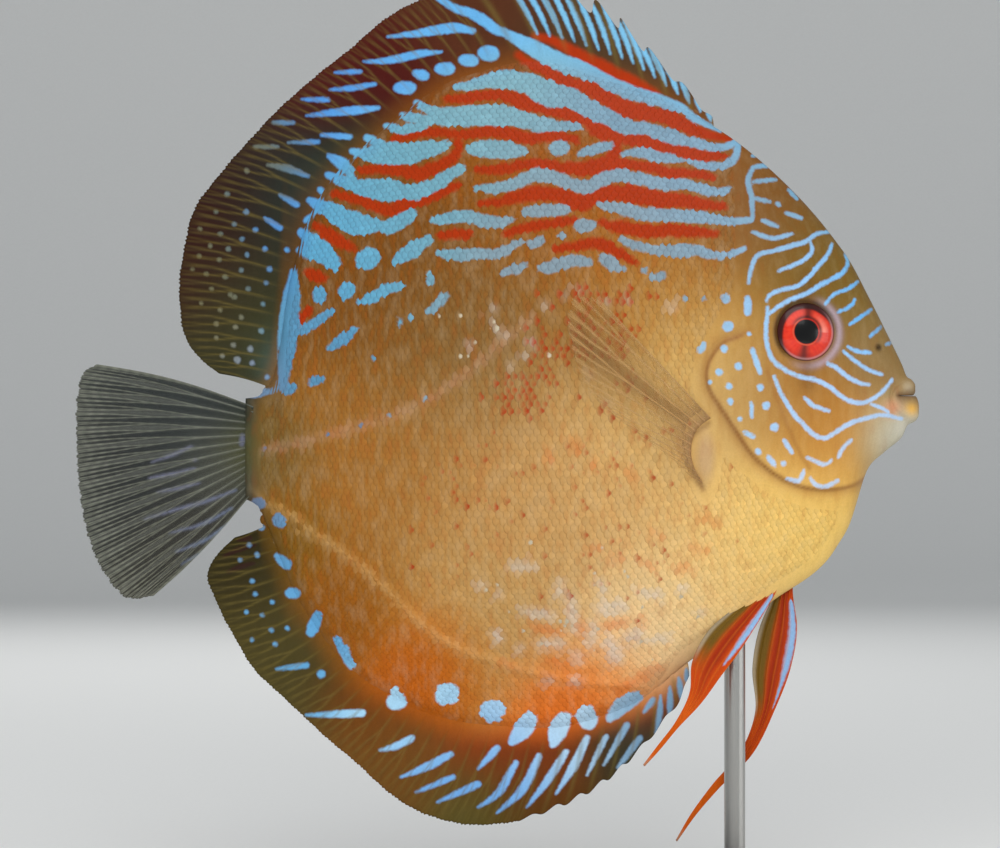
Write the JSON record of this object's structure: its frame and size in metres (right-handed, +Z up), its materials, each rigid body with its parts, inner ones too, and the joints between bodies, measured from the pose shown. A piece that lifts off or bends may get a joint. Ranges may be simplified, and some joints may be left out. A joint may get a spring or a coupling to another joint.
{
  "type": "discus fish model on a display stand",
  "caption": "Life-size still model of a discus fish, a tall, flat, striped freshwater fish, held over a flat base by a rod.",
  "frame": {"origin": "on the underside of the base, below the middle of the fish's length, in its middle plane", "axes": "+X towards the snout, +Y to the fish's left, +Z up"},
  "size_m": [0.1604, 0.062, 0.1783],
  "materials": {
    "scaled_skin": "moist scaled skin, orange to pale yellow with turquoise stripes",
    "face_skin": "smooth moist skin, olive orange with thin light blue lines",
    "striped_fin": "fin membrane and rays, dark red outside, olive inside, light blue streaks",
    "clear_fin": "thin smoky membrane with paler rays",
    "red_fin": "orange red membrane with a pale blue leading edge",
    "red_eye": "wet, clear cornea over a red iris and a black pupil",
    "stained_wood": "dark stained wood, satin lacquer",
    "steel": "satin steel rod"
  },
  "bodies": {
    "root": {"head": "face_skin", "eye_right": "red_eye", "eye_left": "red_eye", "gill_cover_right": "face_skin", "gill_cover_left": "face_skin", "trunk": "scaled_skin", "tail_stalk": "scaled_skin", "dorsal_spiny": "striped_fin", "dorsal_soft": "striped_fin", "anal_spiny": "striped_fin", "anal_soft": "striped_fin", "caudal_fin": "clear_fin", "pectoral_right": "clear_fin", "pectoral_left": "clear_fin", "pelvic_right": "red_fin", "pelvic_left": "red_fin", "stand_rod": "steel", "stand_base": "stained_wood"}
  },
  "joints": []
}
